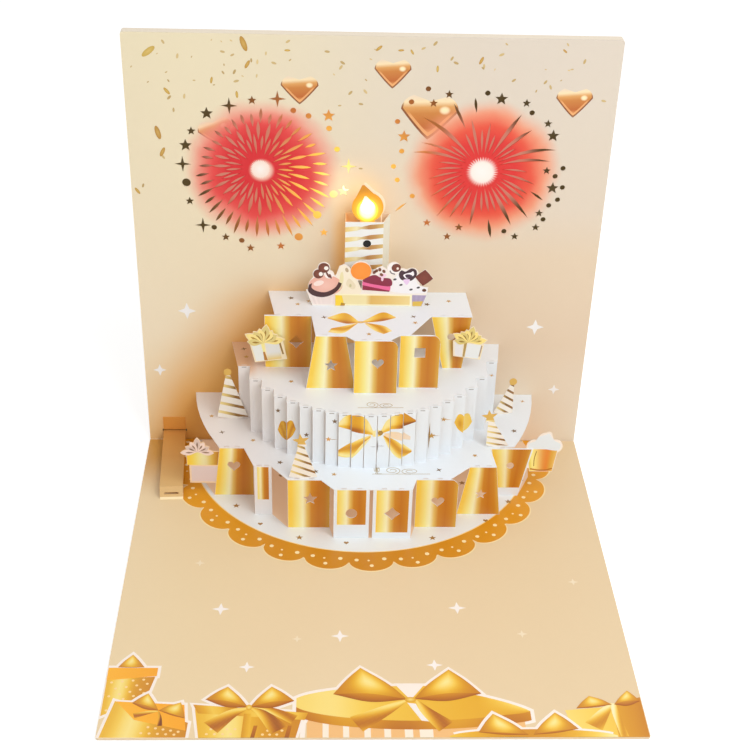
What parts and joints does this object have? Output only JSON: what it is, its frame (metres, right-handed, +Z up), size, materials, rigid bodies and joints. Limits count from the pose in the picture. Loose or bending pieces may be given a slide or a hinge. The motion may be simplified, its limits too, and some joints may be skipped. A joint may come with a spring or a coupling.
{
  "type": "birthday card",
  "caption": "Pop-up birthday card held open at a right angle: printed base, hollow lit back panel, and a tiered paper cake with a candle, party hats and gifts between them.",
  "frame": {"origin": "centre of the open card's bounding box, on the underside of the base", "axes": "+X across the card, +Y from the base's front edge towards the back panel, +Z up along the back panel"},
  "size_m": [0.2, 0.197, 0.1929],
  "materials": {
    "cover_card": "matte",
    "base_print": "satin",
    "back_print": "satin",
    "grey_board": "matte",
    "tier_paper_1": "satin",
    "tier_paper_2": "satin",
    "tier_paper_3": "satin",
    "candle_paper": "satin",
    "flame_paper": "satin",
    "flame_glow": "satin",
    "sweets_paper": "satin",
    "hat_paper": "satin",
    "gift_paper": "satin",
    "gift_side_paper": "satin",
    "foam": "matte",
    "strap_card": "matte",
    "board": "satin",
    "resin": "satin",
    "nickel": "satin",
    "brass_leaf": "satin",
    "black_felt": "matte",
    "lamp": "gloss",
    "wire": "satin"
  },
  "bodies": {
    "root": {"cover": "cover_card", "base_lining": "base_print", "back_lining": "back_print", "spacer_frame": "grey_board", "tier_1": "tier_paper_1", "tier_2": "tier_paper_2", "tier_3": "tier_paper_3", "candle": "candle_paper", "flame": "flame_paper", "flame_backing": "flame_glow", "sweets_panel": "sweets_paper", "hat_back_left": "hat_paper", "hat_back_right": "hat_paper", "hat_front_left": "hat_paper", "hat_front_right": "hat_paper", "gift_upper_left": "gift_paper", "gift_upper_right": "gift_paper", "foam_pad_left": "foam", "foam_pad_right": "foam", "gift_lower_left": "gift_side_paper", "cupcake_lower_right": "gift_side_paper", "switch_strap": "strap_card", "strap_guide": "strap_card", "circuit_board": "board", "sound_chip": "resin", "battery_clip": "nickel", "button_cell_1": "nickel", "button_cell_2": "nickel", "button_cell_3": "nickel", "speaker": "brass_leaf", "switch_blade_front": "brass_leaf", "switch_blade_rear": "brass_leaf", "microphone": "black_felt", "flame_led": "lamp", "panel_led": "lamp", "ribbon_wire": "wire"}
  },
  "joints": []
}
